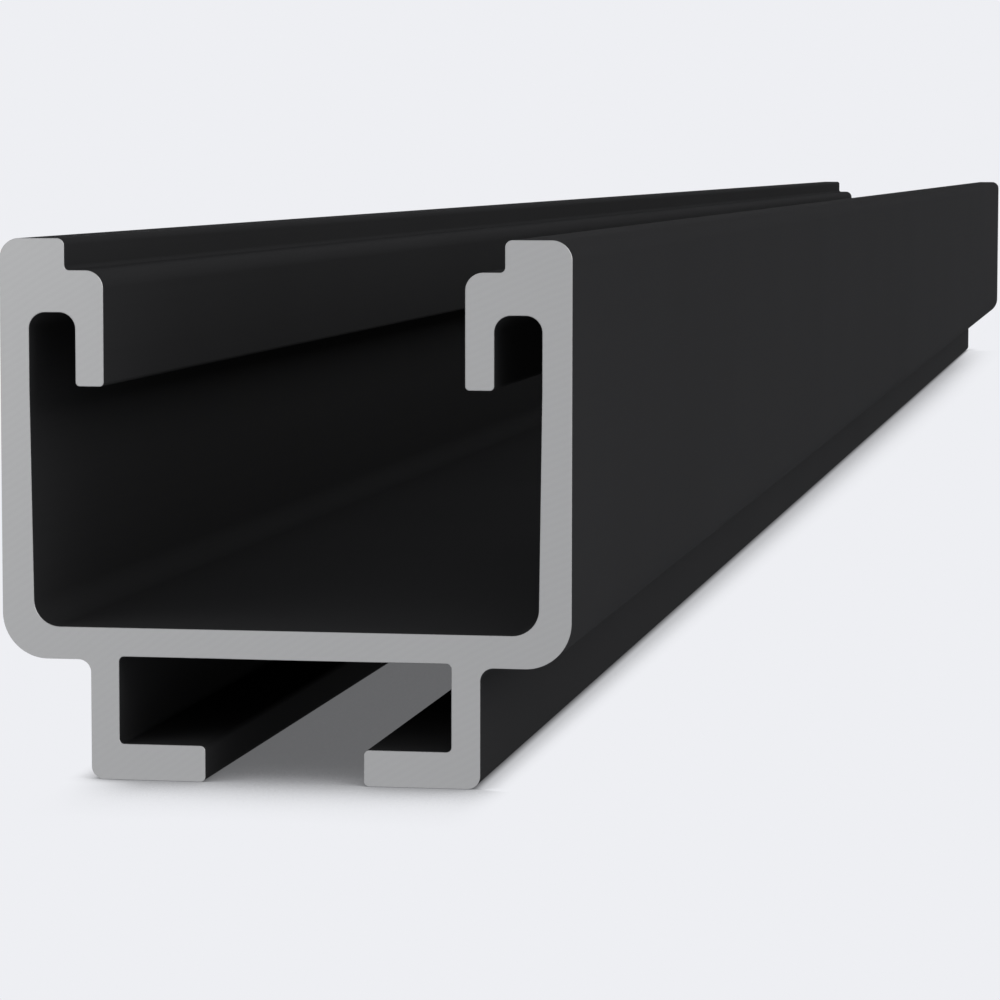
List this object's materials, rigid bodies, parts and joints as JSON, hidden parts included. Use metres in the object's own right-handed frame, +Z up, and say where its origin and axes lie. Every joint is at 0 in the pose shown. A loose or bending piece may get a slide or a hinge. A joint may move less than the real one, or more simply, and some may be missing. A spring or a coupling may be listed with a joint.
{
  "type": "solar mounting rail",
  "caption": "Straight black extruded channel rail for solar panels, open on top with ribbed and lipped walls, standing on inturned feet that form a bolt slot.",
  "frame": {"origin": "midway along the rail, in the middle of its width, on the surface that its feet stand on", "axes": "+Y along the rail, +X across it, +Z up from the feet to the open top"},
  "size_m": [0.04, 0.63, 0.0375],
  "materials": {
    "black_aluminium": "satin black anodised skin on extruded aluminium, bare sawn metal on the two cut ends"
  },
  "bodies": {
    "root": {"rail": "black_aluminium"}
  },
  "joints": []
}
